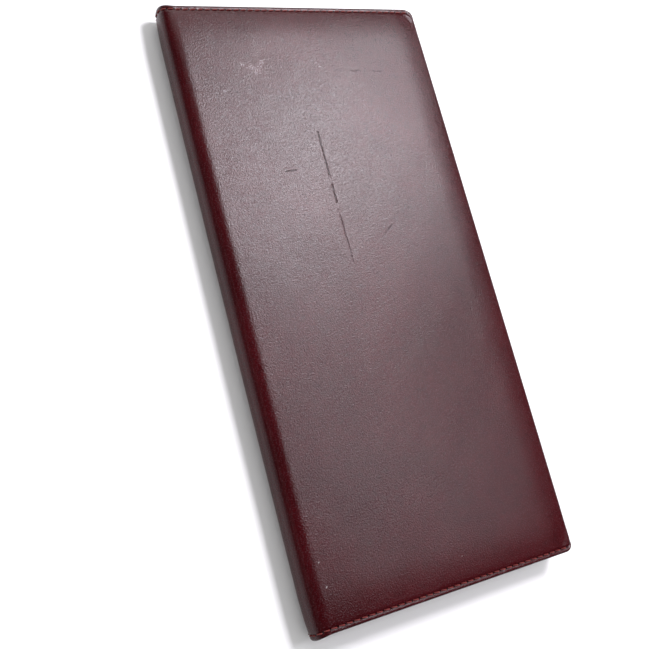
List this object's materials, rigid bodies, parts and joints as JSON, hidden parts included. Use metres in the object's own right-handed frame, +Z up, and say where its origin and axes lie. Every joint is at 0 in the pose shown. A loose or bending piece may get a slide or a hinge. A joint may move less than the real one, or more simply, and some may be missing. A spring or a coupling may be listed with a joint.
{
  "type": "long wallet",
  "caption": "Slim bifold long wallet in smooth leather, with a soft round spine, turned free edges, sewn short ends, bill, card and slip pockets inside.",
  "frame": {"origin": "under the middle of the closed wallet, on the surface that its back cover lies on", "axes": "+X from the spine to the free edge, +Y along the spine, +Z up out of the front cover"},
  "size_m": [0.09, 0.184, 0.01],
  "materials": {
    "shell_leather": "smooth burgundy calf with a fine grain and a soft sheen",
    "pocket_leather": "the same burgundy calf, split thinner",
    "lining_cloth": "fine dark burgundy twill",
    "interlining_fibre": "matt bonded fibre",
    "sewing_thread": "waxed twisted burgundy thread"
  },
  "bodies": {
    "back_cover": {"back_cover": "shell_leather", "back_interlining": "interlining_fibre", "back_lining": "lining_cloth", "back_edge_fold": "shell_leather", "back_flap": "pocket_leather", "back_flap_margins": "pocket_leather", "card_strip_1": "pocket_leather", "card_strip_2": "pocket_leather", "card_strip_3": "pocket_leather", "card_pocket_thread": "sewing_thread", "back_seam_thread": "sewing_thread"},
    "spine": {"spine_leather": "shell_leather", "spine_interlining": "interlining_fibre", "spine_lining": "lining_cloth", "spine_thread": "sewing_thread"},
    "front_cover": {"front_cover": "shell_leather", "front_interlining": "interlining_fibre", "front_lining": "lining_cloth", "front_edge_fold": "shell_leather", "front_flap": "pocket_leather", "front_flap_margins": "pocket_leather", "slip_pocket": "pocket_leather", "slip_pocket_thread": "sewing_thread", "front_seam_thread": "sewing_thread"}
  },
  "joints": [
    {"name": "spine_fold", "type": "hinge", "parent": "back_cover", "child": "spine", "pos_m": [-0.04354, 0, 0.00146], "axis": [0, -1, 0], "range_deg": [0, 90]},
    {"name": "front_cover_fold", "type": "hinge", "parent": "spine", "child": "front_cover", "pos_m": [-0.04354, 0, 0.00854], "axis": [0, -1, 0], "range_deg": [0, 90]}
  ],
  "couplings": [
    {"joint": "front_cover_fold", "follows": "spine_fold", "ratio": 1}
  ]
}
